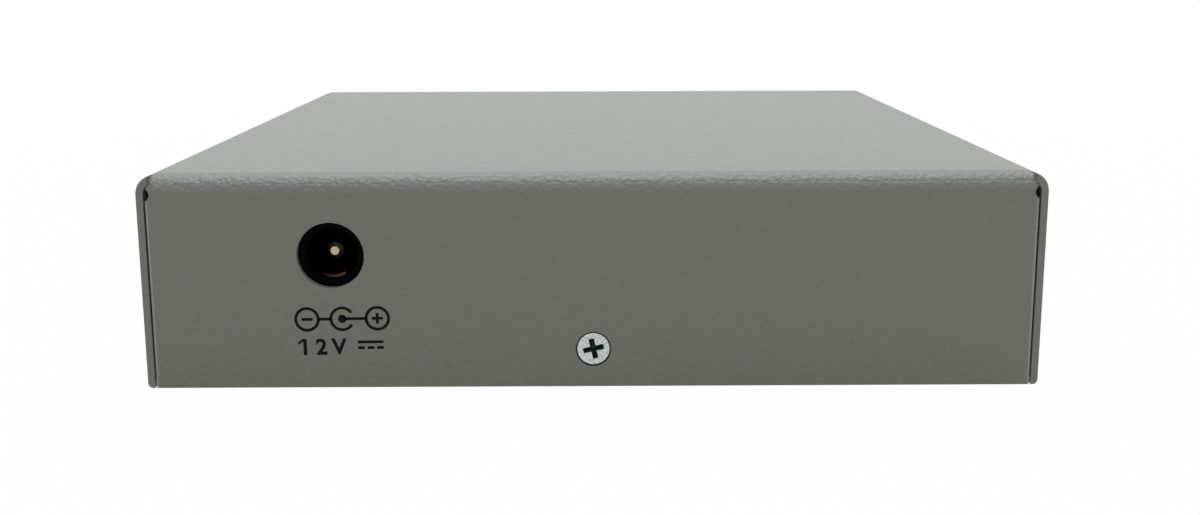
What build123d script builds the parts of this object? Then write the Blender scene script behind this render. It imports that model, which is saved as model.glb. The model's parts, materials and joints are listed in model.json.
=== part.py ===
from build123d import *
import os

# A desk-top fibre media converter, in millimetres. Seen from behind, X runs to the right,
# Y from the rear panel towards the ports, and Z up from the table.

# Folded steel case
case_width = 104.8
case_depth = 95.25
case_height = 25.4
sheet = 0.8
cover_bend = 2.25  # outer radius of the cover's folds
pan_bend = 1.6  # outer radius of the base pan's folds
wall_corner = 1.8  # round on the lower corners of the side walls
seam = 0.25  # between a side wall's end and the rear flange
relief_r = 0.8  # round relief where the folds meet
relief_in = 0.7
relief_down = 2.3
slit_width = 0.3  # at the rear fold's ends
slit_length = 0.4
pan_gap = 0.25  # between the pan and the cover round it
return_flange = 5.0  # at the top of the front panel
side_flange = 6.0
flange_relief = 1.0
rear_flange_drop = 0.6  # below the board

# Ventilation slots in the side walls
vent_count = 4
vent_pitch = 10.0
vent_width = 2.4
vent_length = 12.0
vent_down = 11.0  # from the roof to the slots' middle

# Rubber feet
foot_height = 1.5
foot_r = 4.0
foot_draft = 0.5
foot_in_x = 13.0
foot_in_y = 14.0

# Clips that hold the front of the cover down
clip_width = 8.0
clip_in = 8.4
clip_sheet = 0.6
clip_pad = 6.0
clip_tongue = 3.2
clip_gap = 0.15

# Countersunk cover screw
cover_screw_up = 4.55
cover_screw_r = 1.0
cover_head_r = 1.9
cover_head_rim = 0.05
cover_head_sunk = 0.1  # below the rear panel's face
cover_screw_length = 5.0
cover_sink_gap = 0.12
cross_span = 2.45
cross_width = 0.65
cross_depth = 0.9
cross_turn = -13.0
cross_taper = 15.0
thread_gap = 0.05
collar_wall = 0.85
collar_length = 1.2

# Circuit board, its standoffs and screws
board_thick = 1.6
board_edge_gap = 1.0
board_rear_gap = 0.8
board_front_gap = 0.5
board_corner = 1.0
hole_in = 4.5  # from the board's rear corners to their screw holes
hole_front = 14.0  # from the board's front edge to the third, between the ports
standoff_r = 2.6
standoff_bore_r = 1.3
board_screw_r = 1.25
board_hole_r = 1.45
board_head_r = 2.25
board_head_height = 1.5
board_screw_length = 5.5
fit_gap = 0.05

# Power jack in the rear panel
jack_in = 22.0  # from the side of the case to the jack's axis
jack_hole_r = 3.9
jack_width = 9.0
jack_height = 11.0
jack_axis_up = 6.5  # above the board
jack_length = 14.2
jack_collar = 3.2
jack_chamfer = 0.6
jack_setback = 0.2
jack_bore_r = 3.05
jack_bore_depth = 10.0
jack_pin_r = 1.0
jack_pin_flat_r = 0.5
jack_pin_in = 2.5  # from the rear panel's face to the pin's tip
jack_rivet_r = 0.7
strip = 0.3  # thickness of the jack's contact strips
leaf_width = 2.8
leaf_gap = 0.4
leaf_clear = 0.1  # between the leaf's tip and the bore
leaf_back = 1.5  # from the bore's end to the leaf's leg
leaf_tip = 0.5  # from the jack's face to the leaf's tip
leaf_crest = 5.6  # and to its crest
leaf_rise = 0.5
tab_width = 2.4
lead_out = 1.0  # how far leads stand out below the board

# Copper port, sized from its plug
port_headroom = 2.2  # above the copper port, which is the tallest part, under the roof
port_in = 3.0  # from the board's side to the nearest port
plug_width = 11.9
plug_height = 6.9
plug_depth = 13.0
latch_width = 6.2
latch_drop = 1.3
key_width = 3.4
key_drop = 0.9
rj45_floor = 2.0
rj45_roof = 0.4
rj45_side = 1.75
rj45_back = 5.0
rj45_reach = 0.6
rj45_shield = 0.3
contact_count = 8
contact_pitch = 1.02
contact_wire = 0.3
contact_dip = 2.0
contact_channel = 1.2
peg_r = 1.5
peg_pitch = 11.4

# Fibre transceiver with its pair of ports, sized from a port's sleeve and latches
sleeve_r = 2.4
sleeve_bore_r = 1.26
sleeve_length = 9.0
latch_thick = 0.9
latch_height = 3.0
latch_length = 9.5
latch_barb = 0.45
latch_gap = 0.45  # inside and outside a latch
port_height = 7.7
port_depth = 16.0
port_key_width = 2.9
port_key_height = 0.8
port_wall = 1.7
port_roof = 1.6
fibre_step = 0.4  # from the body in to the nose that passes the panel
fibre_reach = 1.6
fibre_up = 0.4  # rests on ribs above the board
fibre_wall = 1.2
fibre_rear = 20.5
bulkhead = 2.5
can_r = 2.8
can_length = 6.0
module_board = 1.0
module_gap = 0.3
pin_count = 9
pin_pitch = 2.54
pin_r = 0.3
post_r = 0.8

# Indicator lamps
led_count = 4
led_pitch = 4.0
led_up = 5.0
led_width = 2.0
led_height = 5.0
led_edge = 0.3
led_gap = 0.15
led_reach = 0.4
led_length = 7.0
led_holder_depth = 5.0
led_holder_wall = 0.75
led_wire = 0.5
led_bend = 1.0  # behind the lamp to its nearer lead's bend

# Push button
button_up = 5.0
button_r = 1.75
button_reach = 1.4
button_travel = 1.0
button_gap = 0.15
button_hole_r = 2.0
button_body = 6.0
button_body_length = 9.0
button_bore = 6.0

# Three-position slide switch
row_gap = 1.0  # between the button, the lamps and the slide switch
slide_up = 3.6
slide_throw = 2.0  # to each side of the middle
knob_width = 2.0
knob_height = 1.6
knob_reach = 0.8
knob_gap = 0.15
knob_depth = 3.0
slide_width = 8.5
slide_height = 5.4
slide_length = 5.2

# Parts on the board
part_rise = 0.1  # of a moulded package above the board
chip_size = 14.0
chip_thick = 1.4
chip_leads_per_side = 6
chip_pitch = 1.8
chip_ahead = 4.0  # of the board's middle
magnetics_length = 12.7
magnetics_width = 7.2
magnetics_height = 5.6
magnetics_leads_per_side = 6
magnetics_pitch = 1.9
magnetics_gap = 4.0  # behind the copper port
memory_length = 4.9
memory_width = 3.9
memory_height = 1.5
memory_leads_per_side = 4
memory_pitch = 1.27
memory_in = 25.0  # from the board's side
memory_ahead = 12.0  # of the board's rear edge
lead_foot = 0.6
lead_span = 0.55
lead_sheet = 0.2
lead_width = 0.4
capacitor_r = 4.0
capacitor_height = 11.5
capacitor_gap = 1.5
inductor_size = 10.0
inductor_height = 5.0
inductor_corner = 2.0
inductor_gap = 5.0  # ahead of the jack
terminal_thick = 0.3
terminal_width = 3.0
crystal_length = 11.0
crystal_width = 4.6
crystal_height = 3.4
crystal_gap = 3.0  # from the main chip's leads
regulator_width = 6.6
regulator_depth = 6.1
regulator_height = 2.3
regulator_tab_thick = 0.6
regulator_tab_out = 1.6
diode_length = 4.4
diode_width = 3.6
diode_height = 2.2
power_gap = 3.0  # between the capacitors, the diode and the regulator
chip_capacitor_length = 2.0
chip_capacitor_width = 1.25
chip_capacitor_height = 1.1
chip_capacitor_count = 6
chip_capacitor_gap = 3.0  # from the main chip's leads

# Levels and planes that the pieces share
floor_z = foot_height
roof_z = floor_z + case_height
side_x = case_width / 2
front_reach = max(fibre_reach, rj45_reach, button_reach, knob_reach, led_reach)
rear_y = -(case_depth + front_reach) / 2
front_y = rear_y + case_depth
pan_x = side_x - sheet - pan_gap
pan_top = roof_z - sheet - pan_gap
pan_rear = rear_y + sheet + pan_gap
panel_back = front_y - sheet
panel_seat = panel_back - pan_gap
rj45_height = rj45_floor + key_drop + latch_drop + plug_height + contact_channel + rj45_roof + rj45_shield
rj45_width = plug_width + 2 * (rj45_side + rj45_shield)
rj45_length = plug_depth + rj45_back
port_width = 2 * (sleeve_r + latch_barb + latch_thick + 2 * latch_gap)
fibre_pitch = 5 * pin_pitch
fibre_width = fibre_pitch + port_width + 2 * port_wall
fibre_height = port_height + 2 * port_roof
fibre_length = port_depth + bulkhead + fibre_rear
board_top = roof_z - sheet - port_headroom - rj45_height
board_z = board_top - board_thick
board_x = pan_x - sheet - board_edge_gap
board_rear = pan_rear + sheet + board_rear_gap
board_front = panel_back - board_front_gap
board_middle = (board_rear + board_front) / 2
screw_z = floor_z + cover_screw_up
corner_x = side_x - relief_in - relief_r
jack_x = -side_x + jack_in
jack_z = board_top + jack_axis_up
jack_face = rear_y + sheet + jack_setback
lead_z = board_z - lead_out

# Across the front: copper port, button, lamps, slide switch, fibre ports
rj45_x = -board_x + port_in + rj45_width / 2
fibre_x = board_x - port_in - fibre_width / 2
rj45_side_x = rj45_x + rj45_width / 2
fibre_side_x = fibre_x - fibre_width / 2
lamp_row = led_count * led_pitch
row_width = button_body + lamp_row + slide_width + 2 * row_gap
row_start = (rj45_side_x + fibre_side_x - row_width) / 2
button_x = row_start + button_body / 2
led_x = row_start + button_body + row_gap + led_pitch / 2
slide_x = row_start + row_width - slide_width / 2
rj45_front = front_y + rj45_reach
fibre_front = front_y + fibre_reach
fibre_back = fibre_front - fibre_length
fibre_low = board_top + fibre_up
fibre_z = fibre_low + fibre_height / 2

hole_spots = [(side * (board_x - hole_in), board_rear + hole_in) for side in (-1, 1)]
hole_spots.append(((rj45_side_x + fibre_side_x) / 2, board_front - hole_front))
port_spots = [(fibre_x + side * fibre_pitch / 2, fibre_z) for side in (-1, 1)]
led_spots = [led_x + n * led_pitch for n in range(led_count)]


def rect(x0, x1, y0, y1):
    return Pos((x0 + x1) / 2, (y0 + y1) / 2) * Rectangle(x1 - x0, y1 - y0)


def disc(x, y, r):
    return Pos(x, y) * Circle(r)


def along_x(face, x0, x1):
    return extrude(Plane.YZ.offset(x0) * face, amount=x1 - x0)


def along_y(face, y0, y1):
    return extrude(Plane.XZ.offset(-y1) * face, amount=y1 - y0)


def along_z(face, z0, z1):
    return extrude(Plane.XY.offset(z0) * face, amount=z1 - z0)


def block(x0, x1, y0, y1, z0, z1):
    return along_z(rect(x0, x1, y0, y1), z0, z1)


# A strip of sheet from the line of its outer face
def folded(points, radius, side, thick):
    line = FilletPolyline(*points, radius=radius)
    return make_face(offset(line, amount=thick, side=side, closed=True))


# The same with sharp corners, for thin metal
def creased(points, side, thick):
    return make_face(offset(Polyline(*points), amount=thick, side=side, kind=Kind.INTERSECTION, closed=True))


# A turned piece from its (radius, height) outline, its axis along direction
def turned(outline, origin, direction=(0, 0, 1)):
    half = Plane.XZ * make_face(Polyline(*outline, close=True))
    return Plane(origin=origin, z_dir=direction) * revolve(half, Axis.Z)


def group(solids):
    return Compound(children=list(solids))


def cover():
    walls = [(-side_x, floor_z), (-side_x, roof_z), (side_x, roof_z), (side_x, floor_z)]
    channel = along_y(folded(walls, cover_bend, Side.RIGHT, sheet), rear_y, front_y)
    channel = fillet(channel.edges().filter_by(Axis.X).group_by(Axis.Z)[0], wall_corner)
    channel -= block(-corner_x, corner_x, rear_y, rear_y + cover_bend, roof_z - cover_bend, roof_z)

    # Rear flange, folded down between the two corner reliefs and rounded off with the side folds
    drop = [(rear_y + 2 * cover_bend, roof_z), (rear_y, roof_z), (rear_y, floor_z)]
    flange_x = side_x - sheet - seam
    flange = along_x(folded(drop, cover_bend, Side.LEFT, sheet), -flange_x, flange_x)
    bend_x, bend_z = side_x - cover_bend, roof_z - cover_bend
    for side in (-1, 1):
        low, high = sorted((side * bend_x, side * side_x))
        corner = rect(low, high, bend_z, roof_z) - disc(side * bend_x, bend_z, cover_bend)
        flange -= along_y(corner, rear_y, rear_y + 2 * cover_bend)
        relief = disc(side * (side_x - relief_in), roof_z - relief_down, relief_r)
        flange -= along_y(relief, rear_y, rear_y + cover_bend)
    shell = channel + flange
    for side in (-1, 1):
        slit = Pos(side * corner_x, rear_y + slit_length / 2) * Rectangle(slit_width, slit_length)
        shell -= along_z(slit, roof_z - cover_bend / 2, roof_z)

    shell -= along_y(disc(jack_x, jack_z, jack_hole_r), rear_y, rear_y + sheet)
    sink = cover_head_r + cover_sink_gap
    sink_rim = cover_head_sunk + cover_head_rim
    sink_end = sink - sheet + sink_rim
    dimple = [(0, 0), (sink, 0), (sink, sink_rim), (sink_end, sheet), (0, sheet)]
    shell -= turned(dimple, (0, rear_y, screw_z), (0, 1, 0))

    middle = (rear_y + front_y) / 2
    first = middle - (vent_count - 1) * vent_pitch / 2
    slot = SlotOverall(vent_length, vent_width, rotation=90)
    for n in range(vent_count):
        shell -= along_x(Pos(first + n * vent_pitch, roof_z - vent_down) * slot, -side_x, side_x)
    return shell


def panel_openings():
    half_nose = fibre_width / 2 - fibre_step + pan_gap
    tall_nose = fibre_height / 2 - fibre_step + pan_gap
    half_rj45 = rj45_width / 2 + pan_gap
    half_knob = knob_width / 2 + slide_throw + 2 * knob_gap
    knob_z = board_top + slide_up
    openings = [
        rect(fibre_x - half_nose, fibre_x + half_nose, fibre_z - tall_nose, fibre_z + tall_nose),
        rect(rj45_x - half_rj45, rj45_x + half_rj45, board_top - pan_gap, board_top + rj45_height + pan_gap),
        disc(button_x, board_top + button_up, button_hole_r),
        rect(slide_x - half_knob, slide_x + half_knob, knob_z - knob_height, knob_z + knob_height),
    ]
    return openings + [led_window(x, led_gap) for x in led_spots]


def base_pan():
    strip_line = [
        (front_y - return_flange, pan_top),
        (front_y, pan_top),
        (front_y, floor_z),
        (pan_rear, floor_z),
        (pan_rear, board_z - rear_flange_drop),
    ]
    pan = along_x(folded(strip_line, pan_bend, Side.RIGHT, sheet), -pan_x, pan_x)

    # Low side flanges, relieved where they meet the front and rear folds
    flange_rear = pan_rear + pan_bend + flange_relief
    flange_front = front_y - pan_bend - flange_relief
    for side in (-1, 1):
        low, high = sorted((side * (pan_x - pan_bend), side * pan_x))
        pan -= block(low, high, flange_rear - flange_relief, flange_front + flange_relief, floor_z, floor_z + sheet)
    trough = [(-pan_x, floor_z + side_flange), (-pan_x, floor_z), (pan_x, floor_z), (pan_x, floor_z + side_flange)]
    pan += along_y(folded(trough, pan_bend, Side.LEFT, sheet), flange_rear, flange_front)

    # The front panel's upper corners follow the inside of the cover's folds
    inside = rect(-pan_x, pan_x, floor_z, pan_top - pan_bend)
    corner = cover_bend - sheet - pan_gap
    inside += Pos(0, (floor_z + pan_top) / 2) * RectangleRounded(2 * pan_x, pan_top - floor_z, corner)
    pan &= along_y(inside, pan_rear, front_y)

    for opening in panel_openings():
        pan -= along_y(opening, panel_back, front_y)

    # Drawn and tapped collar for the cover screw
    thread_r = cover_screw_r + thread_gap
    pan += along_y(disc(0, screw_z, thread_r + collar_wall), pan_rear, pan_rear + sheet + collar_length)
    pan -= along_y(disc(0, screw_z, thread_r), pan_rear, pan_rear + sheet + collar_length)
    return pan


def hold_down_clips():
    seat = roof_z - sheet
    tongue_top = pan_top - sheet - clip_gap
    step = front_y - return_flange - clip_gap
    line = [
        (step - clip_pad, seat),
        (step, seat),
        (step, tongue_top),
        (step + clip_tongue, tongue_top),
    ]
    profile = creased(line, Side.RIGHT, clip_sheet)
    x = side_x - clip_in
    return group([along_x(profile, centre - clip_width / 2, centre + clip_width / 2) for centre in (-x, x)])


def cover_screw():
    cone_end = cover_head_rim + cover_head_r - cover_screw_r
    outline = [
        (0, 0),
        (cover_head_r, 0),
        (cover_head_r, cover_head_rim),
        (cover_screw_r, cone_end),
        (cover_screw_r, cover_screw_length),
        (0, cover_screw_length),
    ]
    head_y = rear_y + cover_head_sunk
    screw = turned(outline, (0, head_y, screw_z), (0, 1, 0))
    arm = Rectangle(cross_span, cross_width)
    cross = Rot(0, 0, cross_turn) * (arm + Rot(0, 0, 90) * arm)
    face = Plane(origin=(0, head_y, screw_z), x_dir=(1, 0, 0), z_dir=(0, 1, 0))
    return screw - extrude(face * cross, cross_depth, taper=cross_taper)


def feet():
    outline = [(0, 0), (foot_r - foot_draft, 0), (foot_r, foot_height), (0, foot_height)]
    xs = (-side_x + foot_in_x, side_x - foot_in_x)
    ys = (rear_y + foot_in_y, front_y - foot_in_y)
    return group([turned(outline, (x, y, 0)) for x in xs for y in ys])


def standoffs():
    pieces = []
    for x, y in hole_spots:
        hexagon = Pos(x, y) * RegularPolygon(standoff_r, 6)
        bore = disc(x, y, standoff_bore_r)
        pieces.append(along_z(hexagon, floor_z + sheet, board_z) - along_z(bore, floor_z + sheet, board_z))
    return group(pieces)


def board_screws():
    outline = [
        (0, board_head_height),
        (board_head_r, board_head_height),
        (board_head_r, 0),
        (board_screw_r, 0),
        (board_screw_r, -board_screw_length),
        (0, -board_screw_length),
    ]
    return group([turned(outline, (x, y, board_top)) for x, y in hole_spots])


def peg_spots():
    y = rj45_front - rj45_length / 2
    return [(rj45_x + side * peg_pitch / 2, y) for side in (-1, 1)]


def pin_spots():
    y = fibre_back + fibre_wall + 2 * pin_pitch
    return [(fibre_x + place, y) for place in spread(pin_count, pin_pitch)]


def post_spots():
    return [(x, fibre_front - port_depth) for x, z in port_spots]


def spread(count, pitch):
    return [(n - (count - 1) / 2) * pitch for n in range(count)]


# A six-sided pin, or with a gap the hole that it goes through
def pin(x, y, r, gap=0.0):
    return Pos(x, y) * RegularPolygon(r + gap, 6)


def circuit_board():
    width = 2 * board_x
    depth = board_front - board_rear
    board = along_z(Pos(0, board_middle) * RectangleRounded(width, depth, board_corner), board_z, board_top)
    holes = [disc(x, y, board_hole_r) for x, y in hole_spots]
    holes += [pin(x, y, peg_r, fit_gap) for x, y in peg_spots()]
    holes += [pin(x, y, pin_r, fit_gap) for x, y in pin_spots()]
    holes += [pin(x, y, post_r, fit_gap) for x, y in post_spots()]
    for y, wide in ((jack_leaf_y(), leaf_width), (jack_tab_y(), tab_width)):
        holes.append(rect(jack_x - wide / 2 - fit_gap, jack_x + wide / 2 + fit_gap, y - strip - fit_gap, y + fit_gap))
    for hole in holes:
        board -= along_z(hole, board_z, board_top)
    return board


def jack_leaf_y():
    return jack_face + jack_bore_depth - leaf_back


def jack_tab_y():
    return jack_face + jack_length + strip


def dc_jack_housing():
    half = jack_width / 2
    top = board_top + jack_height
    collar = along_y(rect(jack_x - half, jack_x + half, board_top, top), jack_face, jack_face + jack_collar)
    collar = chamfer(collar.edges().filter_by(Axis.Y).group_by(Axis.Z)[-1], jack_chamfer)
    arched = rect(jack_x - half, jack_x + half, board_top, top - half) + disc(jack_x, top - half, half)
    housing = collar + along_y(arched, jack_face + jack_collar, jack_face + jack_length)
    housing -= along_y(disc(jack_x, jack_z, jack_bore_r), jack_face, jack_face + jack_bore_depth)
    housing -= along_y(disc(jack_x, jack_z, jack_rivet_r + fit_gap), jack_face, jack_face + jack_length)

    # Slot under the bore for the leaf, open to the board
    half = leaf_width / 2 + leaf_gap
    slot_rear = jack_face + jack_collar
    slot_top = jack_z - jack_bore_r / 2
    return housing - block(jack_x - half, jack_x + half, slot_rear, jack_leaf_y() + leaf_gap, board_top, slot_top)


# A leg, and a trough bent to the bore's curve that springs up to its crest and falls to its tip
def dc_jack_leaf():
    half = leaf_width / 2
    outer = jack_bore_r - leaf_clear
    hollow = disc(jack_x, jack_z, outer - strip)
    leg = rect(jack_x - half, jack_x + half, lead_z, jack_z) - hollow
    band = (disc(jack_x, jack_z, outer) - hollow) & rect(jack_x - half, jack_x + half, jack_z - outer, jack_z)
    root = jack_leaf_y() - strip
    crest = jack_face + leaf_crest
    climb = Vector(0, crest - root, leaf_rise)
    fall = Vector(0, leaf_tip - leaf_crest, -leaf_rise)
    spring = extrude(Plane.XZ.offset(-root) * band, climb.length, dir=climb)
    tip = extrude(Plane.XZ.offset(-crest) * Pos(0, leaf_rise) * band, fall.length, dir=fall)
    return along_y(leg, root, jack_leaf_y()) + spring + tip


def dc_jack_pin():
    tip = rear_y + jack_pin_in
    seat = jack_face + jack_bore_depth - tip
    tail = jack_face + jack_length - tip
    outline = [
        (0, 0),
        (jack_pin_flat_r, 0),
        (jack_pin_r, jack_pin_r - jack_pin_flat_r),
        (jack_pin_r, seat),
        (jack_rivet_r, seat),
        (jack_rivet_r, tail),
        (0, tail),
    ]
    return turned(outline, (jack_x, tip, jack_z), (0, 1, 0))


def dc_jack_tab():
    half = tab_width / 2
    y = jack_tab_y()
    return along_y(rect(jack_x - half, jack_x + half, lead_z, jack_z + half), y - strip, y)


def plug_profile():
    low = board_top + rj45_floor + key_drop + latch_drop
    window = rect(rj45_x - plug_width / 2, rj45_x + plug_width / 2, low, low + plug_height)
    window += rect(rj45_x - latch_width / 2, rj45_x + latch_width / 2, low - latch_drop, low)
    return window + rect(rj45_x - key_width / 2, rj45_x + key_width / 2, low - latch_drop - key_drop, low)


def plug_top():
    return board_top + rj45_floor + key_drop + latch_drop + plug_height


def rj45_housing():
    front = rj45_front - rj45_shield
    back = rj45_front - rj45_length + rj45_shield
    half = rj45_width / 2 - rj45_shield
    top = board_top + rj45_height - rj45_shield
    body = block(rj45_x - half, rj45_x + half, back, front, board_top, top)
    body -= along_y(plug_profile(), rj45_front - plug_depth, front)

    # Channel over the plug and down the back that the contacts lie in
    over = plug_top()
    line = [(front - 2 * contact_wire, over), (back + contact_channel, over), (back + contact_channel, board_top)]
    half = (contact_count - 1) * contact_pitch / 2 + contact_wire
    body -= along_x(creased(line, Side.RIGHT, contact_channel), rj45_x - half, rj45_x + half)
    for x, y in peg_spots():
        body += along_z(pin(x, y, peg_r), lead_z, board_top)
    return body


def rj45_shield_can():
    half = rj45_width / 2
    back = rj45_front - rj45_length
    top = board_top + rj45_height
    thin = rj45_shield
    outer = block(rj45_x - half, rj45_x + half, back, rj45_front, board_top, top)
    inner = block(rj45_x - half + thin, rj45_x + half - thin, back + thin, rj45_front - thin, board_top, top - thin)
    return outer - inner - along_y(plug_profile(), rj45_front - thin, rj45_front)


def rj45_contacts():
    back = rj45_front - rj45_length + rj45_shield + contact_wire
    hook = rj45_front - rj45_shield - 4 * contact_wire
    over = plug_top()
    line = [
        (rj45_front - plug_depth + 2 * contact_wire, over - contact_dip),
        (hook, over),
        (hook, over + contact_channel - contact_wire),
        (back, over + contact_channel - contact_wire),
        (back, board_top),
    ]
    profile = creased(line, Side.LEFT, contact_wire)
    half = contact_wire / 2
    places = [rj45_x + place for place in spread(contact_count, contact_pitch)]
    return group([along_x(profile, x - half, x + half) for x in places])


def fibre_housing():
    shoulder = panel_seat
    half = fibre_width / 2
    body = block(fibre_x - half, fibre_x + half, fibre_back, shoulder, fibre_low, fibre_low + fibre_height)
    body = chamfer(body.edges().filter_by(Axis.Y).group_by(Axis.Z)[-1], fibre_wall / 2)
    nose = Rectangle(fibre_width - 2 * fibre_step, fibre_height - 2 * fibre_step)
    body += along_y(Pos(fibre_x, fibre_z) * nose, shoulder, fibre_front)
    root = fibre_front - port_depth
    for x, z in port_spots:
        top = z + port_height / 2
        mouth = Pos(x, z) * Rectangle(port_width, port_height)
        mouth += rect(x - port_key_width / 2, x + port_key_width / 2, z, top + port_key_height)
        body -= along_y(mouth, root, fibre_front)
        body -= along_y(disc(x, z, sleeve_r + fit_gap), root - bulkhead, root)

    # The rear is hollow and open below, for the optics and their own small board
    inner = half - fibre_wall
    ceiling = fibre_low + fibre_height - fibre_wall
    rear = fibre_back + fibre_wall
    body -= block(fibre_x - inner, fibre_x + inner, rear, root - bulkhead, fibre_low, ceiling)
    for x, y in post_spots():
        body += along_z(pin(x, y, post_r), lead_z, fibre_low)
    for side in (-1, 1):
        low, high = sorted((fibre_x + side * half, fibre_x + side * inner))
        body += block(low, high, fibre_back, shoulder, board_top, fibre_low)
    return body


def fibre_sleeves():
    end = bulkhead + sleeve_length
    outline = [(sleeve_bore_r, 0), (sleeve_r, 0), (sleeve_r, end), (sleeve_bore_r, end)]
    start = fibre_front - port_depth - bulkhead
    return group([turned(outline, (x, start, z), (0, 1, 0)) for x, z in port_spots])


def fibre_cans():
    start = fibre_front - port_depth - bulkhead
    outline = [(0, 0), (can_r, 0), (can_r, can_length), (0, can_length)]
    return group([turned(outline, (x, start, z), (0, -1, 0)) for x, z in port_spots])


def fibre_latches():
    root = fibre_front - port_depth
    tip = root + latch_length
    outer = port_width / 2 - latch_gap
    inner = outer - latch_thick
    hooks = []
    for x, z in port_spots:
        for side in (-1, 1):
            outline = [
                (x + side * inner, root),
                (x + side * outer, root),
                (x + side * outer, tip),
                (x + side * inner, tip),
                (x + side * (inner - latch_barb), tip - 2 * latch_barb),
                (x + side * inner, tip - 3 * latch_barb),
            ]
            finger = make_face(Polyline(*outline, close=True))
            hooks.append(along_z(finger, z - latch_height / 2, z + latch_height / 2))
    return group(hooks)


def module_level():
    return fibre_low + module_gap


def fibre_module_board():
    inner = fibre_width / 2 - fibre_wall - module_gap
    low = module_level()
    rear = fibre_back + fibre_wall + module_gap
    front = fibre_front - port_depth - bulkhead - can_length - module_gap
    plate = block(fibre_x - inner, fibre_x + inner, rear, front, low, low + module_board)
    for x, y in pin_spots():
        plate -= along_z(pin(x, y, pin_r, fit_gap), low, low + module_board)
    return plate


def fibre_pins():
    top = module_level() + 1.5 * module_board
    return group([along_z(pin(x, y, pin_r), lead_z, top) for x, y in pin_spots()])


def led_window(x, gap=0.0):
    return Pos(x, board_top + led_up) * Rectangle(led_width + 2 * gap, led_height + 2 * gap)


def led_holder():
    rear = panel_seat - led_holder_depth
    half = led_pitch / 2
    top = board_top + led_up + led_height / 2 + led_holder_wall
    body = block(led_spots[0] - half, led_spots[-1] + half, rear, panel_seat, board_top, top)
    for x in led_spots:
        body -= along_y(led_window(x, fit_gap), rear, panel_seat)
    return body


def led_back():
    return front_y + led_reach - led_length


def led_lenses():
    lenses = []
    for x in led_spots:
        lens = along_y(led_window(x), led_back(), led_back() + led_length)
        lenses.append(chamfer(lens.faces().sort_by(Axis.Y)[-1].edges(), led_edge))
    return group(lenses)


# Two leads from each lamp, one above the other, the upper one bent down farther back
def led_leads():
    rear = led_back()
    leads = []
    for step in (0, 1):
        z = board_top + led_up + (step - 0.5) * pin_pitch
        y = rear - led_bend - step * pin_pitch
        profile = creased([(rear, z), (y, z), (y, board_top)], Side.LEFT, led_wire)
        leads += [along_x(profile, x - led_wire / 2, x + led_wire / 2) for x in led_spots]
    return group(leads)


def button_switch():
    half = button_body / 2
    z = board_top + button_up
    rear = panel_seat - button_body_length
    body = block(button_x - half, button_x + half, rear, panel_seat, board_top, z + half)
    body = chamfer(body.edges().filter_by(Axis.Y), 0.1 * button_body)
    return body - along_y(disc(button_x, z, button_r + button_gap), panel_seat - button_bore, panel_seat)


def push_button():
    rear = panel_seat - button_bore + button_travel + button_gap
    length = front_y + button_reach - rear
    edge = 0.25 * button_r
    outline = [(0, 0), (button_r, 0), (button_r, length - edge), (button_r - edge, length), (0, length)]
    return turned(outline, (button_x, rear, board_top + button_up), (0, 1, 0))


def slide_switch():
    half = slide_width / 2
    z = board_top + slide_up
    body = block(slide_x - half, slide_x + half, panel_seat - slide_length, panel_seat, board_top, board_top + slide_height)
    reach = knob_width / 2 + slide_throw + knob_gap
    tall = knob_height / 2 + knob_gap
    return body - block(slide_x - reach, slide_x + reach, panel_seat - knob_depth, panel_seat, z - tall, z + tall)


def slide_knob():
    half = knob_width / 2
    rear = panel_seat - knob_depth + knob_gap
    shape = Pos(slide_x, board_top + slide_up) * Rectangle(knob_width, knob_height)
    knob = along_y(shape, rear, front_y + knob_reach)
    return chamfer(knob.faces().sort_by(Axis.Y)[-1].edges(), 0.2 * half)


# A moulded package with a row of gull-wing leads along each side that turns names
def package(x, y, length, width, height, turns, count, pitch):
    low = board_top + part_rise
    body = along_z(Pos(x, y) * Rectangle(length, width), low, low + height)
    body = chamfer(body.faces().sort_by(Axis.Z)[-1].edges(), part_rise)
    leads = []
    for turn in turns:
        edge = (length if turn % 180 == 0 else width) / 2
        knee = edge + lead_span
        toe = knee + lead_foot
        middle = low + height / 2
        foot_top = board_top + lead_sheet
        fall = (middle - foot_top) / lead_span
        under = board_top + fall * (lead_span - lead_sheet)
        top_line = [(edge, middle), (knee, foot_top), (toe, foot_top)]
        under_line = [(toe, board_top), (knee - lead_sheet, board_top), (edge, under)]
        profile = make_face(Polyline(*top_line, *under_line, close=True))
        for place in spread(count, pitch):
            lead = along_y(profile, place - lead_width / 2, place + lead_width / 2)
            leads.append(Pos(x, y, 0) * Rot(0, 0, turn) * lead)
    return body, group(leads)


def main_chip_parts():
    turns = (0, 90, 180, 270)
    y = board_middle + chip_ahead
    return package(0, y, chip_size, chip_size, chip_thick, turns, chip_leads_per_side, chip_pitch)


def magnetics_parts():
    y = rj45_front - rj45_length - magnetics_gap - magnetics_width / 2
    size = (magnetics_length, magnetics_width, magnetics_height)
    return package(rj45_x, y, *size, (90, 270), magnetics_leads_per_side, magnetics_pitch)


def memory_parts():
    x = board_x - memory_in
    y = board_rear + memory_ahead
    size = (memory_length, memory_width, memory_height)
    return package(x, y, *size, (90, 270), memory_leads_per_side, memory_pitch)


def capacitor_spots():
    first = jack_x + jack_width / 2 + capacitor_gap + capacitor_r
    y = board_rear + capacitor_r + capacitor_gap
    return [(first + n * (2 * capacitor_r + capacitor_gap), y) for n in range(2)]


def capacitors():
    r = capacitor_r
    h = capacitor_height
    outline = [(0, 0), (r, 0), (r, h), (0, h)]
    return group([turned(outline, (x, y, board_top)) for x, y in capacitor_spots()])


def inductor_place():
    return jack_x, jack_face + jack_length + inductor_gap + inductor_size / 2


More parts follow.
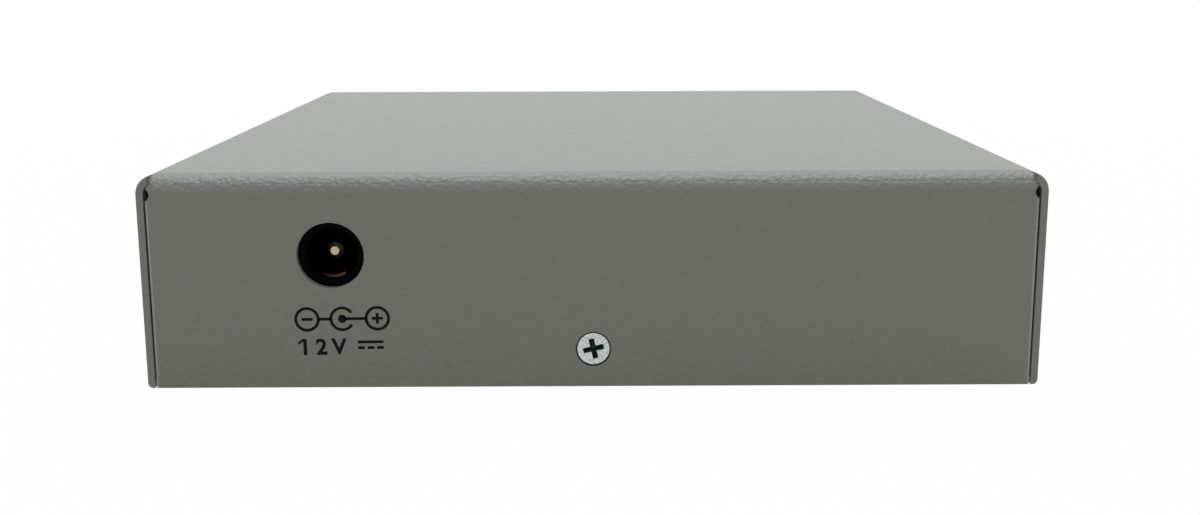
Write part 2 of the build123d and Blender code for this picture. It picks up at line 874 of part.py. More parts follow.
def inductor_body():
    x, y = inductor_place()
    low = board_top + terminal_thick
    body = along_z(Pos(x, y) * Rectangle(inductor_size, inductor_size), low, board_top + inductor_height)
    body = chamfer(body.edges().filter_by(Axis.Z), inductor_corner)
    return chamfer(body.faces().sort_by(Axis.Z)[-1].edges(), terminal_thick)


def inductor_terminals():
    x, y = inductor_place()
    reach = inductor_size / 2
    half = terminal_width / 2
    pads = []
    for side in (-1, 1):
        low, high = sorted((x + side * (reach + terminal_thick), x + side * reach / 2))
        pads.append(block(low, high, y - half, y + half, board_top, board_top + terminal_thick))
    return group(pads)


def crystal_can():
    x = -(chip_size / 2 + lead_span + lead_foot + crystal_gap + crystal_width / 2)
    shape = SlotOverall(crystal_length, crystal_width, rotation=90)
    return along_z(Pos(x, board_middle + chip_ahead) * shape, board_top, board_top + crystal_height)


def power_row():
    return board_rear + 2 * (capacitor_r + capacitor_gap) + power_gap


def protection_diode():
    x = capacitor_spots()[0][0]
    y = power_row() + diode_width / 2
    body = along_z(Pos(x, y) * Rectangle(diode_length, diode_width), board_top, board_top + diode_height)
    return chamfer(body.faces().sort_by(Axis.Z)[-1].edges(), 0.2 * diode_height)


def regulator_body():
    x = capacitor_spots()[1][0]
    y = power_row() + regulator_tab_out
    half = regulator_width / 2
    low = board_top + regulator_tab_thick
    body = block(x - half, x + half, y, y + regulator_depth, low, board_top + regulator_height)
    return chamfer(body.faces().sort_by(Axis.Z)[-1].edges(), 0.1 * regulator_height)


def regulator_tab():
    x = capacitor_spots()[1][0]
    y = power_row()
    half = 0.4 * regulator_width
    front = y + regulator_tab_out + regulator_depth
    return block(x - half, x + half, y, front, board_top, board_top + regulator_tab_thick)


def chip_capacitors():
    half_x = chip_capacitor_width / 2
    half_y = chip_capacitor_length / 2
    y = board_middle + chip_ahead - chip_size / 2 - lead_span - lead_foot - chip_capacitor_gap
    pieces = []
    for x in spread(chip_capacitor_count, 2 * chip_capacitor_width):
        top = board_top + chip_capacitor_height
        pieces.append(block(x - half_x, x + half_x, y - half_y, y + half_y, board_top, top))
    return group(pieces)


main_chip, main_chip_leads = main_chip_parts()
magnetics, magnetics_leads = magnetics_parts()
memory_chip, memory_leads = memory_parts()

nodes = {
    "cover": cover(),
    "base_pan": base_pan(),
    "hold_down_clips": hold_down_clips(),
    "cover_screw": cover_screw(),
    "rubber_feet": feet(),
    "board_standoffs": standoffs(),
    "board_screws": board_screws(),
    "circuit_board": circuit_board(),
    "dc_jack_housing": dc_jack_housing(),
    "dc_jack_pin": dc_jack_pin(),
    "dc_jack_leaf": dc_jack_leaf(),
    "dc_jack_tab": dc_jack_tab(),
    "rj45_housing": rj45_housing(),
    "rj45_shield": rj45_shield_can(),
    "rj45_contacts": rj45_contacts(),
    "fibre_housing": fibre_housing(),
    "fibre_sleeves": fibre_sleeves(),
    "fibre_latches": fibre_latches(),
    "fibre_optic_cans": fibre_cans(),
    "fibre_module_board": fibre_module_board(),
    "fibre_pins": fibre_pins(),
    "led_holder": led_holder(),
    "led_lenses": led_lenses(),
    "led_leads": led_leads(),
    "button_switch": button_switch(),
    "push_button": push_button(),
    "slide_switch": slide_switch(),
    "slide_knob": slide_knob(),
    "main_chip": main_chip,
    "main_chip_leads": main_chip_leads,
    "magnetics": magnetics,
    "magnetics_leads": magnetics_leads,
    "memory_chip": memory_chip,
    "memory_leads": memory_leads,
    "capacitors": capacitors(),
    "inductor_body": inductor_body(),
    "inductor_terminals": inductor_terminals(),
    "crystal_can": crystal_can(),
    "regulator_body": regulator_body(),
    "regulator_tab": regulator_tab(),
    "protection_diode": protection_diode(),
    "chip_capacitors": chip_capacitors(),
}

os.makedirs("parts", exist_ok=True)
for name, shape in nodes.items():
    export_step(shape, f"parts/{name}.step")
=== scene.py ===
import json
from math import copysign, pi, radians, sin, sqrt

import bmesh
import bpy
from mathutils import Matrix, Vector

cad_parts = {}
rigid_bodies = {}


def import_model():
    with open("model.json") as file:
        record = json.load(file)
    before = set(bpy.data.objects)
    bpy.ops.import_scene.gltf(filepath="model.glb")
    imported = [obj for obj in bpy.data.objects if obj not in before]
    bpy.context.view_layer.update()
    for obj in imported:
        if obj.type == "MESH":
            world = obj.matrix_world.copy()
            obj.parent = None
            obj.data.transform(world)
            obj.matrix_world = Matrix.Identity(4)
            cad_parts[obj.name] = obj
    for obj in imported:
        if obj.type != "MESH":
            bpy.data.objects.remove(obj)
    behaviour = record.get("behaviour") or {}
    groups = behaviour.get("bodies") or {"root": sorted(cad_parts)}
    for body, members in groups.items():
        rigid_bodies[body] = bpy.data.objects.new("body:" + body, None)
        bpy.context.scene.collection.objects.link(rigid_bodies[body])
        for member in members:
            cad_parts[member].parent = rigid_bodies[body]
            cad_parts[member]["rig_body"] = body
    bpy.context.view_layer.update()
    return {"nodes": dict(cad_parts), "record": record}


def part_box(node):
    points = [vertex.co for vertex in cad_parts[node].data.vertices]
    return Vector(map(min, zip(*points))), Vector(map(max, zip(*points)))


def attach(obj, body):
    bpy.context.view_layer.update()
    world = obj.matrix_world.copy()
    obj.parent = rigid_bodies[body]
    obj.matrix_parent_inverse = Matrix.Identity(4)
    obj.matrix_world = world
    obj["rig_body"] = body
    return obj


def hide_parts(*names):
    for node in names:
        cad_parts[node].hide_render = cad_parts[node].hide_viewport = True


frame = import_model()
nodes = frame["nodes"]
mm = 0.001

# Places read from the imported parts
coverLow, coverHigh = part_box("cover")
pinLow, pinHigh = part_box("dc_jack_pin")
screwLow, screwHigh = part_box("cover_screw")
screwMiddle = (screwLow + screwHigh) / 2
headRadius = (screwHigh.x - screwLow.x) / 2
rearFace = coverLow.y
bottomEdge = coverLow.z
jackCentre = (pinLow + pinHigh) / 2
print("frame loaded:", len(nodes), "parts")


def linked(name, data):
    holder = bpy.data.objects.new(name, data)
    bpy.context.scene.collection.objects.link(holder)
    return holder


# Shader building
def feed(tree, entry, value):
    if isinstance(value, Wire):
        tree.links.new(value.socket, entry)
    else:
        entry.default_value = value


class Wire:
    # one socket that arithmetic can be written on
    def __init__(self, tree, socket):
        self.tree = tree
        self.socket = socket

    def maths(self, operation, first, second):
        node = self.tree.nodes.new("ShaderNodeMath")
        node.operation = operation
        for entry, value in zip(node.inputs, (first, second)):
            feed(self.tree, entry, value)
        return Wire(self.tree, node.outputs[0])

    def __add__(self, other):
        return self.maths("ADD", self, other)

    def __sub__(self, other):
        return self.maths("SUBTRACT", self, other)

    def __rsub__(self, other):
        return self.maths("SUBTRACT", other, self)

    def __mul__(self, other):
        return self.maths("MULTIPLY", self, other)

    def __rmul__(self, other):
        return self.maths("MULTIPLY", other, self)


class Finish:
    # one material, with its principled shader ready
    def __init__(self, name, colour, roughness, **constants):
        self.material = bpy.data.materials.new(name)
        self.material.use_nodes = True
        self.tree = self.material.node_tree
        self.shader = self.tree.nodes["Principled BSDF"]
        self.put("Base Color", colour)
        self.put("Roughness", roughness)
        for socketName, value in constants.items():
            self.put(socketName.replace("_", " "), value)
        self.material.diffuse_color = colour

    def add(self, kind, settings=None, values=None, output=0):
        node = self.tree.nodes.new(kind)
        for key, value in (settings or {}).items():
            if key == "stops":
                ramp = node.color_ramp.elements
                while len(ramp) < len(value):
                    ramp.new(0.5)
                for stop, (place, grey) in zip(ramp, value):
                    stop.position = place
                    stop.color = (grey, grey, grey, 1.0)
            else:
                setattr(node, key, value)
        for key, value in (values or {}).items():
            feed(self.tree, node.inputs[key], value)
        return Wire(self.tree, node.outputs[output])

    def put(self, socketName, value):
        feed(self.tree, self.shader.inputs[socketName], value)

    def place(self):
        return self.add("ShaderNodeTexCoord", output="Object")

    def along(self, axis):
        return self.add("ShaderNodeSeparateXYZ", {}, {"Vector": self.place()}, axis)

    # grain whose features are about this big, in metres
    def grain(self, size, detail, roughness=0.5):
        values = {
            "Vector": self.place(),
            "Scale": 1.0 / size,
            "Detail": detail,
            "Roughness": roughness,
        }
        return self.add("ShaderNodeTexNoise", {}, values, "Fac")

    def cells(self, size, smoothness):
        values = {"Vector": self.place(), "Scale": 1.0 / size, "Smoothness": smoothness}
        return self.add("ShaderNodeTexVoronoi", {"feature": "SMOOTH_F1"}, values, "Distance")

    def steps(self, wire, *stops):
        return self.add("ShaderNodeValToRGB", {"stops": stops}, {"Fac": wire}, "Color")

    def ramp(self, wire, fromMin, fromMax, toMin=0.0, toMax=1.0):
        values = {
            "Value": wire,
            "From Min": fromMin,
            "From Max": fromMax,
            "To Min": toMin,
            "To Max": toMax,
        }
        return self.add("ShaderNodeMapRange", {}, values)

    def blendColours(self, mask, first, second):
        values = {"Factor": mask, 6: first, 7: second}
        return self.add("ShaderNodeMix", {"data_type": "RGBA"}, values, 2)

    def bump(self, height, depth, strength):
        values = {"Height": height, "Distance": depth, "Strength": strength}
        self.put("Normal", self.add("ShaderNodeBump", {}, values))


# Display colour, as numbers up to 255, to the linear value that a shader takes
def shade(red, green, blue):
    parts = [value / 255 for value in (red, green, blue)]
    linear = [p / 12.92 if p <= 0.04045 else ((p + 0.055) / 1.055) ** 2.4 for p in parts]
    return (*linear, 1.0)


paintLook = {
    "light": shade(147, 144, 133),
    "dark": shade(143, 140, 129),
    "darkFrom": 0.2,
    "darkTo": 0.75,
    "pebbleTint": 0.7,
    "broadTint": 0.3,
    "edge": shade(178, 177, 174),  # painted highlight, thin and pale, on the rear panel's cut edges beside the seams
    "edgeIn": 1.15 * mm,  # from the case's side to the middle of that painted highlight
    "edgeHalf": 0.09 * mm,
    "edgeFade": 1.6,  # where it has faded out, in halves of its width
    "edgeBack": 0.3 * mm,  # how far it reaches behind the panel's face
    "backFade": 1.5,
    "edgeDown": 3.2 * mm,  # from the case's top to its upper end
    "countersinkShade": shade(16, 16, 14),  # painted shade in the screw's countersink
    "countersinkShadeOut": 0.12 * mm,  # past the screw's head
    "roughness": 0.38,
    "roughnessRange": 0.1,
    "pebble": 0.55 * mm,
    "pebbleSoftness": 0.6,
    "pebbleRise": 0.8,
    "fine": 0.3 * mm,
    "fineDetail": 1.0,
    "fineRise": 0.5,
    "broad": 3.0 * mm,
    "broadDetail": 3.0,
    "depth": 0.12 * mm,
    "strength": 0.9,
    "foldGain": 1.2,  # coarser on the top and its folds than on the walls
    "foldDown": 3.0 * mm,
}


def casePaint():
    look = paintLook
    paint = Finish("casePaint", look["light"], look["roughness"])
    pebbles = paint.cells(look["pebble"], look["pebbleSoftness"])
    fine = paint.grain(look["fine"], look["fineDetail"])
    broad = paint.grain(look["broad"], look["broadDetail"])
    across, inward, upward = (paint.along(axis) for axis in "XYZ")
    foldEnd = coverHigh.z - look["foldDown"]
    coarse = paint.ramp(upward, foldEnd, coverHigh.z, 1.0, look["foldGain"])
    height = (pebbles * look["pebbleRise"] + fine * look["fineRise"]) * coarse
    paint.bump(height, look["depth"], look["strength"])
    mottle = pebbles * look["pebbleTint"] + broad * look["broadTint"]
    mask = paint.steps(mottle, (look["darkFrom"], 0.0), (look["darkTo"], 1.0))
    colour = paint.blendColours(mask, look["light"], look["dark"])

    # Painted highlights on the edges beside the two seams, and painted shade round the screw in
    # its countersink
    offEdge = across.maths("ABSOLUTE", across, 0.0) - (coverHigh.x - look["edgeIn"])
    offEdge = offEdge.maths("ABSOLUTE", offEdge, 0.0)
    half, back = look["edgeHalf"], look["edgeBack"]
    beside = paint.ramp(offEdge, half, half * look["edgeFade"], 1.0, 0.0)
    behind = paint.ramp(inward, rearFace + back, rearFace + back * look["backFade"], 1.0, 0.0)
    top = coverHigh.z - look["edgeDown"]
    below = paint.ramp(upward, top, top + back, 1.0, 0.0)
    # Painted highlight: lighter along the seam edges
    colour = paint.blendColours(beside * behind * below, colour, look["edge"])
    # Painted shade: darker in the countersink round the screw's head
    sink = (screwMiddle.x, rearFace, screwMiddle.z)
    values = {0: paint.place(), 1: sink}
    away = paint.add("ShaderNodeVectorMath", {"operation": "DISTANCE"}, values, "Value")
    rim = headRadius + look["countersinkShadeOut"]
    unshaded = paint.ramp(away, rim, rim + look["countersinkShadeOut"])
    paint.put("Base Color", paint.blendColours(unshaded, look["countersinkShade"], colour))
    paint.put("Roughness", broad * look["roughnessRange"] + look["roughness"])
    return paint.material


plasticBump = {"detail": 2.0, "strength": 0.6}


def plainPlastic(name, colour, roughness, grain=0.25 * mm, depth=0.006 * mm, **constants):
    plastic = Finish(name, colour, roughness, **constants)
    plastic.bump(plastic.grain(grain, plasticBump["detail"]), depth, plasticBump["strength"])
    return plastic.material


metalBump = {
    "mottleDetail": 4.0,
    "finer": 3,  # times finer than the mottle
    "fineDetail": 2.0,
    "depth": 0.004 * mm,
    "strength": 0.5,
}


def metal(name, colour, roughness, wear=0.12, streak=0.6 * mm):
    look = metalBump
    finish = Finish(name, colour, roughness, Metallic=1.0)
    mottle = finish.grain(streak, look["mottleDetail"])
    finish.put("Roughness", mottle * wear + (roughness - wear / 2))
    fine = finish.grain(streak / look["finer"], look["fineDetail"])
    finish.bump(fine, look["depth"], look["strength"])
    return finish.material


screwLook = {
    "head": shade(208, 218, 213),
    "tarnish": shade(134, 150, 143),
    "tarnishFrom": 0.38,
    "tarnishTo": 0.68,
    "recessShade": shade(14, 28, 38),  # painted shade in the cross recess
    "recessShadeSpeckle": shade(58, 64, 74),
    "from": 0.08 * mm,  # depth below the head's face where the painted shade starts
    "over": 0.12 * mm,
    "shadedShineLoss": 0.9,  # share of the metal's shine taken away in the painted shade of the recess
    "roughness": 0.34,
    "smoother": 0.12,
    "scratchRoughness": 0.25,
    "recessRoughness": 0.3,
    "scratch": 0.3 * mm,
    "scratchDetail": 5.0,
    "scratchContrast": 0.7,
    "scratchDepth": 0.035 * mm,
    "strength": 0.8,
}


def screwSteel():
    look = screwLook
    steel = Finish("screwSteel", look["head"], look["roughness"])
    inward = steel.along("Y")
    # Painted shade: below the head's face the colour turns dark and less metallic
    start = screwLow.y + look["from"]
    deep = steel.ramp(inward, start, start + look["over"])
    scratches = steel.grain(look["scratch"], look["scratchDetail"], look["scratchContrast"])
    patches = steel.steps(scratches, (look["tarnishFrom"], 0.0), (look["tarnishTo"], 1.0))
    head = steel.blendColours(patches, look["head"], look["tarnish"])
    recessShade = steel.blendColours(patches, look["recessShade"], look["recessShadeSpeckle"])
    steel.put("Base Color", steel.blendColours(deep, head, recessShade))
    steel.put("Metallic", 1.0 - look["shadedShineLoss"] * deep)
    scratched = scratches * look["scratchRoughness"] + (look["roughness"] - look["smoother"])
    steel.put("Roughness", scratched + look["recessRoughness"] * deep)
    steel.bump(scratches, look["scratchDepth"], look["strength"])
    return steel.material


contactLook = {
    "glintCopper": shade(92, 60, 46),
    "shadeCopper": shade(26, 18, 18),
    "from": -1.2 * mm,  # right of the inlet's axis, where the painted shade on the left starts to turn into a painted glint
    "over": 1.8 * mm,
    "roughness": 0.45,
}


def contactCopper():
    look = contactLook
    copper = Finish("contactCopper", look["glintCopper"], look["roughness"], Metallic=1.0)
    # Painted shade on the left of the contact and a painted glint on its right
    across = copper.along("X")
    start = jackCentre.x + look["from"]
    clear = copper.ramp(across, start, start + look["over"])
    copper.put("Base Color", copper.blendColours(clear, look["shadeCopper"], look["glintCopper"]))
    return copper.material


boardLook = {
    "plain": shade(20, 96, 52),
    "dark": shade(16, 84, 44),
    "light": shade(26, 108, 60),
    "roughness": 0.32,
    "coat": 0.3,
    "coatRoughness": 0.15,
    "weave": 0.9 * mm,
    "weaveDetail": 3.0,
    "lightFrom": 0.4,
    "lightTo": 0.6,
    "depth": 0.01 * mm,
    "strength": 0.4,
}


def solderMask():
    look = boardLook
    coat = {"Coat_Weight": look["coat"], "Coat_Roughness": look["coatRoughness"]}
    board = Finish("boardGreen", look["plain"], look["roughness"], **coat)
    weave = board.grain(look["weave"], look["weaveDetail"])
    mask = board.steps(weave, (look["lightFrom"], 0.0), (look["lightTo"], 1.0))
    board.put("Base Color", board.blendColours(mask, look["dark"], look["light"]))
    board.bump(weave, look["depth"], look["strength"])
    return board.material


def lampGlass():
    glass = {"Transmission_Weight": 0.35, "IOR": 1.5, "Coat_Weight": 0.4}
    return Finish("lampLens", shade(150, 205, 130), 0.18, **glass).material


finishes = {
    "case_paint": casePaint(),
    "zinc_steel": metal("zincSteel", shade(205, 212, 208), 0.32),
    "jack_plastic": plainPlastic("jackPlastic", shade(6, 6, 10), 0.4, Specular_IOR_Level=0.02),
    "contact_metal": metal("contactMetal", shade(214, 206, 190), 0.24),
    "gold_contact": metal("goldContact", shade(226, 190, 110), 0.22),
    "board_green": solderMask(),
    "chip_black": plainPlastic("chipBlack", shade(34, 34, 36), 0.55),
    "port_shield": metal("portShield", shade(206, 206, 202), 0.28),
    "fibre_plastic": plainPlastic("fibrePlastic", shade(36, 36, 38), 0.4),
    "ceramic_sleeve": plainPlastic("ceramicSleeve", shade(232, 230, 220), 0.3),
    "led_lens": lampGlass(),
    "rubber_foot": plainPlastic("rubberFoot", shade(30, 30, 31), 0.8, 0.4 * mm, 0.02 * mm),
    "can_sleeve": plainPlastic("canSleeve", shade(34, 40, 66), 0.35),
    "button_plastic": plainPlastic("buttonPlastic", shade(44, 44, 46), 0.45),
    "knob_plastic": plainPlastic("knobPlastic", shade(228, 226, 218), 0.4),
    "ferrite": plainPlastic("ferrite", shade(70, 70, 74), 0.6),
    "copper_strip": contactCopper(),
    "marking_ink": plainPlastic("markingInk", shade(10, 11, 18), 0.6, Specular_IOR_Level=0.1),
    "ceramic_chip": plainPlastic("ceramicChip", shade(190, 164, 126), 0.45),
}
print("finishes made:", len(finishes))

# A part whose own finish differs from its slot's plain one
ownFinish = {
    "cover_screw": screwSteel(),
    "dc_jack_pin": metal("pinNickel", shade(180, 162, 140), 0.34, 0.2, 0.25 * mm),
}

slotOf = {part["node"]: part["material_slot"] for part in frame["record"]["subparts"]}

# Width in mm of the rounding on each part's edges; parts not named here have none
edgeRound = {
    "cover": 0.1,
    "base_pan": 0.07,
    "cover_screw": 0.02,
    "dc_jack_housing": 0.12,
    "dc_jack_pin": 0.05,
    "dc_jack_leaf": 0.03,
    "rj45_housing": 0.08,
    "rj45_shield": 0.06,
    "rj45_contacts": 0.05,
    "fibre_housing": 0.12,
    "fibre_sleeves": 0.1,
    "fibre_latches": 0.08,
    "led_holder": 0.1,
    "led_lenses": 0.1,
    "button_switch": 0.1,
    "push_button": 0.12,
    "slide_switch": 0.1,
    "slide_knob": 0.1,
    "rubber_feet": 0.25,
    "capacitors": 0.3,
    "main_chip": 0.05,
    "magnetics": 0.06,
    "crystal_can": 0.2,
}

edgeLook = {
    "join": 0.0005 * mm,  # corners closer than this become one
    "flat": radians(0.5),  # faces that turn less than this become one
    "smooth": radians(28),  # edges that turn less than this are shaded smooth
    "sharp": radians(32),  # edges that turn more than this are rounded
    "segments": 2,
}

# Parts whose flat faces have many openings, so that their triangles aren't joined into one face
piercedPanels = {"base_pan"}

wallFoot = {
    "sheet": 0.85 * mm,
    "corner": 1.8 * mm,  # reach of the walls' lower rear corners
    "round": 0.6 * mm,
    "steps": 6,
    "touch": 0.002 * mm,
}


def joinFlatFaces(work):
    flat = edgeLook["flat"]
    bmesh.ops.dissolve_limit(work, angle_limit=flat, verts=work.verts, edges=work.edges)


# The cover's side walls end square behind, and are rounded along the bottom
def roundWallFeet(work):
    look = wallFoot
    side, reach = coverHigh.x, look["corner"] + look["touch"]
    walls = [vert for vert in work.verts if side - abs(vert.co.x) < look["sheet"]]
    for vert in walls:
        if vert.co.y - rearFace < reach and vert.co.z - bottomEdge < reach:
            vert.co.y, vert.co.z = rearFace, bottomEdge
    bmesh.ops.remove_doubles(work, verts=work.verts, dist=look["touch"])
    joinFlatFaces(work)
    radius = look["round"]
    for step in range(look["steps"]):
        rise = radius * (1.0 - sin(radians(90.0) * step / look["steps"]))
        level = (0.0, 0.0, bottomEdge + rise)
        everything = [*work.verts, *work.edges, *work.faces]
        bmesh.ops.bisect_plane(work, geom=everything, plane_co=level, plane_no=(0.0, 0.0, 1.0))
    for vert in work.verts:
        below = radius - (vert.co.z - bottomEdge)
        if below > 0.0 and side - abs(vert.co.x) < look["touch"]:
            inset = radius - sqrt(max(0.0, radius * radius - below * below))
            vert.co.x = copysign(side - inset, vert.co.x)


# A joined copy of a part with its edges rounded and its curves shaded smooth
def roundedCopy(name, width):
    look = edgeLook
    mesh = nodes[name].data.copy()
    mesh.name = name + "Rounded"
    work = bmesh.new()
    work.from_mesh(mesh)
    bmesh.ops.remove_doubles(work, verts=work.verts, dist=look["join"])
    if name not in piercedPanels:
        joinFlatFaces(work)
    if name == "cover":
        roundWallFeet(work)
    work.to_mesh(mesh)
    work.free()
    mesh.materials.clear()
    mesh.materials.append(ownFinish.get(name, finishes[slotOf[name]]))
    piece = linked(name + "Rounded", mesh)
    mesh.shade_smooth()
    mesh.set_sharp_from_angle(angle=look["smooth"])
    soften = piece.modifiers.new("edges", "BEVEL")
    soften.width = width * mm
    soften.segments = look["segments"]
    soften.limit_method = "ANGLE"
    soften.angle_limit = look["sharp"]
    soften.use_clamp_overlap = True
    soften.harden_normals = True
    soften.miter_outer = "MITER_ARC"
    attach(piece, nodes[name]["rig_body"])
    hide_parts(name)


for name in nodes:
    if name in edgeRound:
        roundedCopy(name, edgeRound[name])
    else:
        nodes[name].data.materials.clear()
        nodes[name].data.materials.append(finishes[slotOf[name]])
print("parts dressed:", len(edgeRound), "rounded")

# Printed power marking under the inlet
marking = {
    "thick": 0.02 * mm,
    "sunk": 0.25,  # share of that thickness that lies in the paint
    "stroke": 0.34 * mm,
    "row": 8.34 * mm,  # height of the symbols above the bottom edge
    "ringRadius": 1.31 * mm,
    "arcSteps": 48,
    "pitch": 4.1 * mm,
    "dot": 0.5 * mm,
    "gap": 33,  # half the opening of the middle ring, in degrees
    "barLength": 1.3 * mm,
    "legend": "12V",
    "legendRow": 4.0 * mm,
    "legendHeight": 2.0 * mm,
    "spacing": 1.45,
    "curveSteps": 6,
    "flagWide": 0.6 * mm,  # of the figure one
    "flagDrop": 0.42 * mm,
    "flagThick": 0.32 * mm,
    "boldness": 0.028,
    "signWidth": 3.0 * mm,
    "signStroke": 0.34 * mm,
    "signGap": 1.3 * mm,
    "signLine": 0.75,  # heights of the unbroken and the broken line, in legend heights
    "signDashes": 0.4,
    "dashCount": 3,
    "dashShare": 3.9,  # the sign's width over that of one dash
    "centre": 1.1 * mm,  # right of the inlet's axis
    "turn": 0.7,  # printed a little askew, in degrees
}


def ring(work, x, z, radius, stroke, opening=0.0):
    inner = Vector((radius - stroke / 2, 0, 0))
    outer = Vector((radius + stroke / 2, 0, 0))
    turn = Matrix.Rotation(opening, 3, "Y")
    centre = Vector((x, 0, z))
    ends = [work.verts.new(centre + turn @ place) for place in (inner, outer)]
    edge = work.edges.new(ends)
    bmesh.ops.spin(
        work,
        geom=[*ends, edge],
        cent=centre,
        axis=(0, 1, 0),
        angle=2 * pi - 2 * opening,
        steps=marking["arcSteps"],
        use_merge=opening == 0.0,
    )


def bar(work, x0, x1, z0, z1):
    corners = [work.verts.new((x, 0, z)) for x, z in ((x0, z0), (x1, z0), (x1, z1), (x0, z1))]
    work.faces.new(corners)


# Corners, edges or faces listed by place, so that a mesh is the same in each run
def listByPlace(items, placeOf):
    ranked = sorted(items, key=lambda item: [round(value, 7) for value in placeOf(item)])
    for number, item in enumerate(ranked):
        item.index = number
    items.sort()


def lettering(words, height, spacing):
    curve = bpy.data.curves.new("letters", "FONT")
    curve.body = words
    curve.space_character = spacing
    curve.offset = marking["boldness"]
    curve.resolution_u = marking["curveSteps"]
    holder = linked("letters", curve)
    bpy.context.view_layer.update()
    mesh = bpy.data.meshes.new_from_object(holder)
    bpy.data.objects.remove(holder)
    low = Vector((min(v.co.x for v in mesh.vertices), min(v.co.y for v in mesh.vertices), 0))
    tall = max(v.co.y for v in mesh.vertices) - low.y
    mesh.transform(Matrix.Scale(height / tall, 4) @ Matrix.Translation(-low))
    mesh.transform(Matrix.Rotation(pi / 2, 4, "X"))
    return mesh, max(v.co.x for v in mesh.vertices)


def powerMarking():
    look = marking
    work = bmesh.new()
    middle = jackCentre.x + look["centre"]
    row = bottomEdge + look["row"]
    radius, stroke = look["ringRadius"], look["stroke"]
    half = stroke / 2
    left, right = middle - look["pitch"], middle + look["pitch"]
    ring(work, left, row, radius, stroke)
    ring(work, right, row, radius, stroke)
    ring(work, middle, row, radius, stroke, radians(look["gap"]))
    ring(work, middle, row, look["dot"] / 2, look["dot"])
    reach = look["barLength"] / 2
    bar(work, left - reach, left + reach, row - half, row + half)
    bar(work, right - reach, right + reach, row - half, row + half)
    bar(work, right - half, right + half, row + half, row + reach)
    bar(work, right - half, right + half, row - reach, row - half)
    bar(work, left + radius, middle - radius, row - half, row + half)
    bar(work, middle + look["dot"] / 2, right - radius, row - half, row + half)

    # Below them the voltage and the direct current sign
    mesh, width = lettering(look["legend"], look["legendHeight"], look["spacing"])
    total = width + look["signGap"] + look["signWidth"]
    start = middle - total / 2
    base = bottomEdge + look["legendRow"]
    mesh.transform(Matrix.Translation((start, 0, base)))
    work.from_mesh(mesh)
    bpy.data.meshes.remove(mesh)
    tall = base + look["legendHeight"]
    fall = tall - look["flagDrop"]
    tip = start - look["flagWide"]
    under = look["flagThick"]
    flag = ((start, tall), (start, tall - under), (tip, fall - under), (tip, fall))
    work.faces.new([work.verts.new((x, 0, z)) for x, z in flag])
    sign = start + width + look["signGap"]
    thick = look["signStroke"]
    top = base + look["signLine"] * look["legendHeight"]
    bar(work, sign, sign + look["signWidth"], top - thick / 2, top + thick / 2)
    low = base + look["signDashes"] * look["legendHeight"]
    dash = look["signWidth"] / look["dashShare"]
    step = (look["signWidth"] - dash) / (look["dashCount"] - 1)
    for n in range(look["dashCount"]):
        bar(work, sign + n * step, sign + n * step + dash, low - thick / 2, low + thick / 2)

    bmesh.ops.remove_doubles(work, verts=work.verts, dist=edgeLook["join"])
    for face in work.faces:
        if face.normal.y > 0:
            face.normal_flip()
    grown = bmesh.ops.extrude_face_region(work, geom=work.faces[:])
    raised = [item for item in grown["geom"] if isinstance(item, bmesh.types.BMVert)]
    bmesh.ops.translate(work, verts=raised, vec=(0, -look["thick"], 0))
    inPaint = rearFace + look["sunk"] * look["thick"]
    bmesh.ops.translate(work, verts=work.verts, vec=(0, inPaint, 0))
    askew = Matrix.Rotation(-radians(look["turn"]), 3, "Y")
    bmesh.ops.rotate(work, verts=work.verts, cent=(middle, 0, row), matrix=askew)
    bmesh.ops.recalc_face_normals(work, faces=work.faces)
    listByPlace(work.verts, lambda vert: vert.co)
    listByPlace(work.edges, lambda edge: edge.verts[0].co + edge.verts[1].co)
    listByPlace(work.faces, lambda face: face.calc_center_median())
    ink = bpy.data.meshes.new("powerMarking")
    work.to_mesh(ink)
    work.free()
    ink.materials.append(finishes["marking_ink"])
    piece = linked("powerMarking", ink)
    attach(piece, "case")


powerMarking()
print("power marking drawn")

# Floor, backdrop and lamp
studio = {
    "white": (1.0, 1.0, 1.0, 1.0),
    "floorColour": shade(205, 205, 200),
    "floorRoughness": 0.9,
    "floorSize": 6.0,
    "floorGlow": 0.985,
    "glowFrom": 0.12,  # from the object's middle, where the floor starts to turn plain white
    "glowOver": 0.5,
    "worldStrength": 0.24,
    "worldTint": (1.0, 0.97, 0.86, 1.0),
}


# 1 for rays that should meet the plain white background
def seenDirectly(tree):
    path = tree.nodes.new("ShaderNodeLightPath")
    rays = ("Is Camera Ray", "Is Glossy Ray", "Is Transmission Ray")
    camera, glossy, through = (Wire(tree, path.outputs[ray]) for ray in rays)
    return camera.maths("MAXIMUM", camera, glossy.maths("MAXIMUM", glossy, through))


def floorPlane():
    look = studio
    work = bmesh.new()
    bmesh.ops.create_grid(work, x_segments=1, y_segments=1, size=look["floorSize"] / 2)
    mesh = bpy.data.meshes.new("floor")
    work.to_mesh(mesh)
    work.free()
    finish = Finish(
        "floorWhite", look["floorColour"], look["floorRoughness"], Specular_IOR_Level=0.0
    )
    tree = finish.tree
    glow = finish.add("ShaderNodeEmission", {}, {"Color": look["white"], "Strength": 1.0})
    values = {0: finish.place()}
    away = finish.add("ShaderNodeVectorMath", {"operation": "LENGTH"}, values, "Value")
    near = look["glowFrom"]
    mask = seenDirectly(tree) * finish.ramp(away, near, near + look["glowOver"], look["floorGlow"])
    layers = {0: mask, 1: Wire(tree, finish.shader.outputs[0]), 2: glow}
    surface = finish.add("ShaderNodeMixShader", {}, layers)
    tree.links.new(surface.socket, tree.nodes["Material Output"].inputs["Surface"])
    mesh.materials.append(finish.material)
    plane = linked("floor", mesh)


def background(tree, colour, strength):
    node = tree.nodes.new("ShaderNodeBackground")
    node.inputs["Color"].default_value = colour
    node.inputs["Strength"].default_value = strength
    return node.outputs[0]


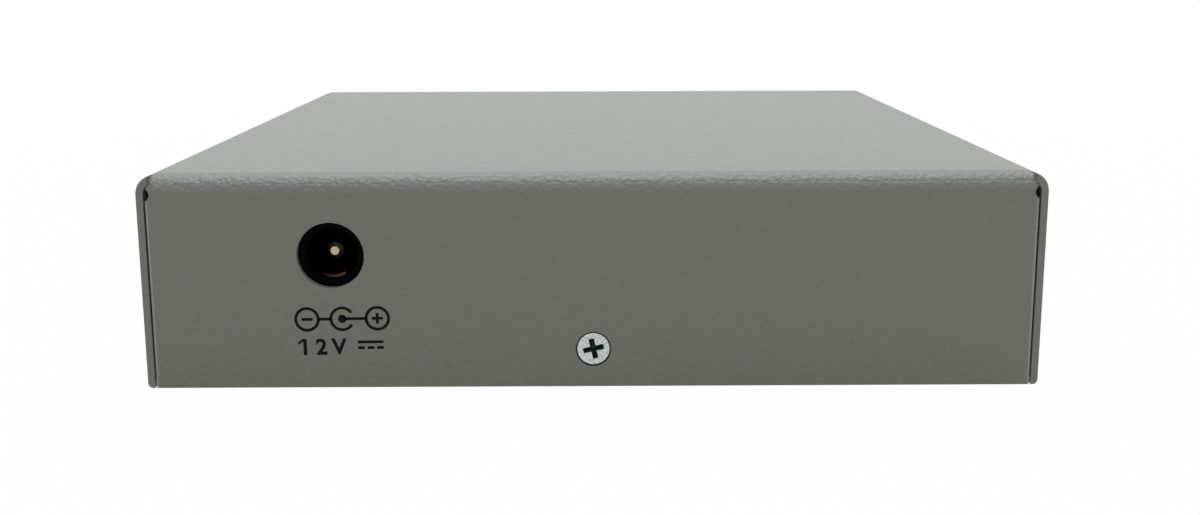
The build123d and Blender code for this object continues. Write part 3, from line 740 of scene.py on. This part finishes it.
def worldLight():
    world = bpy.data.worlds.new("studio")
    bpy.context.scene.world = world
    world.use_nodes = True
    tree = world.node_tree
    tree.nodes.clear()
    soft = background(tree, studio["worldTint"], studio["worldStrength"])
    plain = background(tree, studio["white"], 1.0)
    mix = tree.nodes.new("ShaderNodeMixShader")
    for entry, source in zip(mix.inputs, (seenDirectly(tree).socket, soft, plain)):
        tree.links.new(source, entry)
    output = tree.nodes.new("ShaderNodeOutputWorld")
    tree.links.new(mix.outputs[0], output.inputs["Surface"])


overhead = {"place": (0.0, 0.1, 0.9), "size": 1.0, "power": 8.3, "tint": (0.8, 1.0, 1.13)}


def softLamp(name, look):
    lamp = bpy.data.lights.new(name, "AREA")
    lamp.shape = "SQUARE"
    lamp.size = look["size"]
    lamp.energy = look["power"]
    lamp.color = look["tint"]
    holder = linked(name, lamp)
    place = Vector(look["place"])
    turn = (-place).to_track_quat("-Z", "Y").to_matrix().to_4x4()
    holder.matrix_world = Matrix.Translation(place) @ turn


floorPlane()
worldLight()
softLamp("overhead", overhead)

# Camera behind the case and a little above it
cameraLook = {
    "right": 0.24 * mm,
    "behind": 135.26 * mm,  # the rear panel
    "above": 48.27 * mm,  # the cover's bottom edge
    "pitch": -9.644,
    "yaw": -0.249,
    "roll": 0.169,
    "lens": 35.977,
    "sensor": 36,
    "shiftY": -0.069,
    "near": 0.005,
    "far": 20,
}


def rearCamera():
    look = cameraLook
    data = bpy.data.cameras.new("rearCamera")
    data.lens = look["lens"]
    data.sensor_width = look["sensor"]
    data.shift_y = look["shiftY"]
    data.clip_start = look["near"]
    data.clip_end = look["far"]
    holder = linked("rearCamera", data)
    place = Vector((look["right"], rearFace - look["behind"], bottomEdge + look["above"]))
    turn = Matrix.Rotation(radians(look["yaw"]), 4, "Z")
    turn = turn @ Matrix.Rotation(radians(look["pitch"]), 4, "X")
    turn = turn @ Matrix.Rotation(radians(look["roll"]), 4, "Y")
    holder.matrix_world = Matrix.Translation(place) @ turn @ Matrix.Rotation(pi / 2, 4, "X")
    bpy.context.scene.camera = holder


rearCamera()
bpy.context.scene.view_settings.view_transform = "Standard"
print("studio and camera set")
